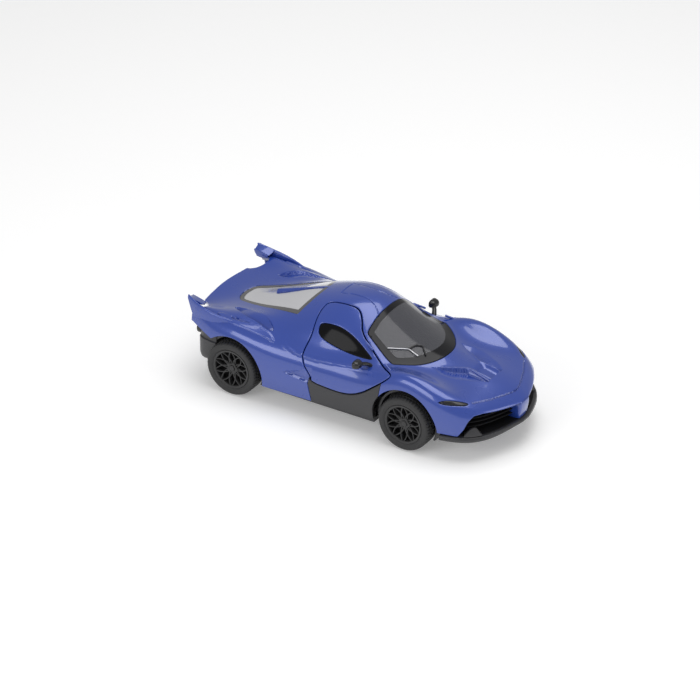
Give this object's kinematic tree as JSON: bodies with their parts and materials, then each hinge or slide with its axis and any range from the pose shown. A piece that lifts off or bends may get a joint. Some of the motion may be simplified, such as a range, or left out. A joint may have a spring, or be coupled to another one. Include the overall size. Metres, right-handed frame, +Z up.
{
  "type": "pull-back toy car",
  "caption": "Die-cast sports car with opening doors, rubber tyres and a wind-up pull-back motor on its rear axle.",
  "frame": {"origin": "on the ground, under the middle of the car's overall length and width", "axes": "+X to the nose, +Y to the car's left, +Z up"},
  "size_m": [0.1299, 0.0572, 0.0426],
  "materials": {
    "blue_paint": "glossy blue enamel on cast zinc",
    "black_plastic": "moulded black plastic",
    "grey_plastic": "dark grey moulded plastic",
    "cabin_plastic": "moulded black plastic",
    "smoked_glazing": "clear smoked plastic with a black edge",
    "silver_glazing": "silver-grey painted plastic",
    "dark_lamp": "dark lamp lens",
    "red_lamp": "red lamp lens",
    "rim_black": "black moulded rim",
    "tyre_rubber": "soft rubber",
    "steel": "drawn steel wire",
    "spring_steel": "blued spring strip",
    "gear_plastic": "natural acetal",
    "motor_plastic": "moulded grey plastic",
    "chrome": "bright plated"
  },
  "bodies": {
    "car": {"body_shell": "blue_paint", "door_hinge_pins": "steel", "windscreen": "smoked_glazing", "rear_window": "silver_glazing", "headlight_left": "dark_lamp", "headlight_right": "dark_lamp", "front_bumper": "black_plastic", "rear_bumper": "black_plastic", "sill_left": "grey_plastic", "sill_right": "grey_plastic", "tail_lamp_left": "red_lamp", "tail_lamp_right": "red_lamp", "exhaust_tips": "chrome", "chassis_base": "black_plastic", "interior_tub": "cabin_plastic", "dashboard": "cabin_plastic", "steering_wheel": "cabin_plastic", "motor_case": "motor_plastic", "motor_cover": "motor_plastic", "idler_pin": "steel", "spring_arbor": "steel", "base_screws": "steel"},
    "right_door": {"door_right": "blue_paint", "mirror_right": "black_plastic"},
    "left_door": {"door_left": "blue_paint", "mirror_left": "black_plastic"},
    "front_wheels": {"front_axle": "steel", "front_left_rim": "rim_black", "front_right_rim": "rim_black", "front_left_tyre": "tyre_rubber", "front_right_tyre": "tyre_rubber"},
    "rear_wheels": {"rear_axle": "steel", "rear_left_rim": "rim_black", "rear_right_rim": "rim_black", "rear_left_tyre": "tyre_rubber", "rear_right_tyre": "tyre_rubber", "axle_gear": "gear_plastic"},
    "middle_gear": {"idler_gear": "gear_plastic"},
    "spring_drum": {"spring_drum": "gear_plastic", "mainspring": "spring_steel"}
  },
  "joints": [
    {"name": "right_door_hinge", "type": "hinge", "parent": "car", "child": "right_door", "pos_m": [0.0054, -0.0156, 0.0335], "axis": [-0.8822, 0.3568, 0.3073], "range_deg": [0, 45]},
    {"name": "left_door_hinge", "type": "hinge", "parent": "car", "child": "left_door", "pos_m": [0.0054, 0.0156, 0.0335], "axis": [0.8822, 0.3568, -0.3073], "range_deg": [0, 45]},
    {"name": "front_axle_spin", "type": "hinge", "parent": "car", "child": "front_wheels", "pos_m": [0.03, 0, 0.0106], "axis": [0, 1, 0], "continuous": true},
    {"name": "rear_axle_spin", "type": "hinge", "parent": "car", "child": "rear_wheels", "pos_m": [-0.044, 0, 0.0106], "axis": [0, 1, 0], "continuous": true},
    {"name": "middle_gear_spin", "type": "hinge", "parent": "car", "child": "middle_gear", "pos_m": [-0.03687, 0, 0.01423], "axis": [0, 1, 0], "continuous": true},
    {"name": "spring_drum_spin", "type": "hinge", "parent": "car", "child": "spring_drum", "pos_m": [-0.02789, 0, 0.01486], "axis": [0, 1, 0], "continuous": true}
  ],
  "couplings": [
    {"joint": "middle_gear_spin", "follows": "rear_axle_spin", "ratio": -0.6},
    {"joint": "spring_drum_spin", "follows": "rear_axle_spin", "ratio": 0.3}
  ]
}
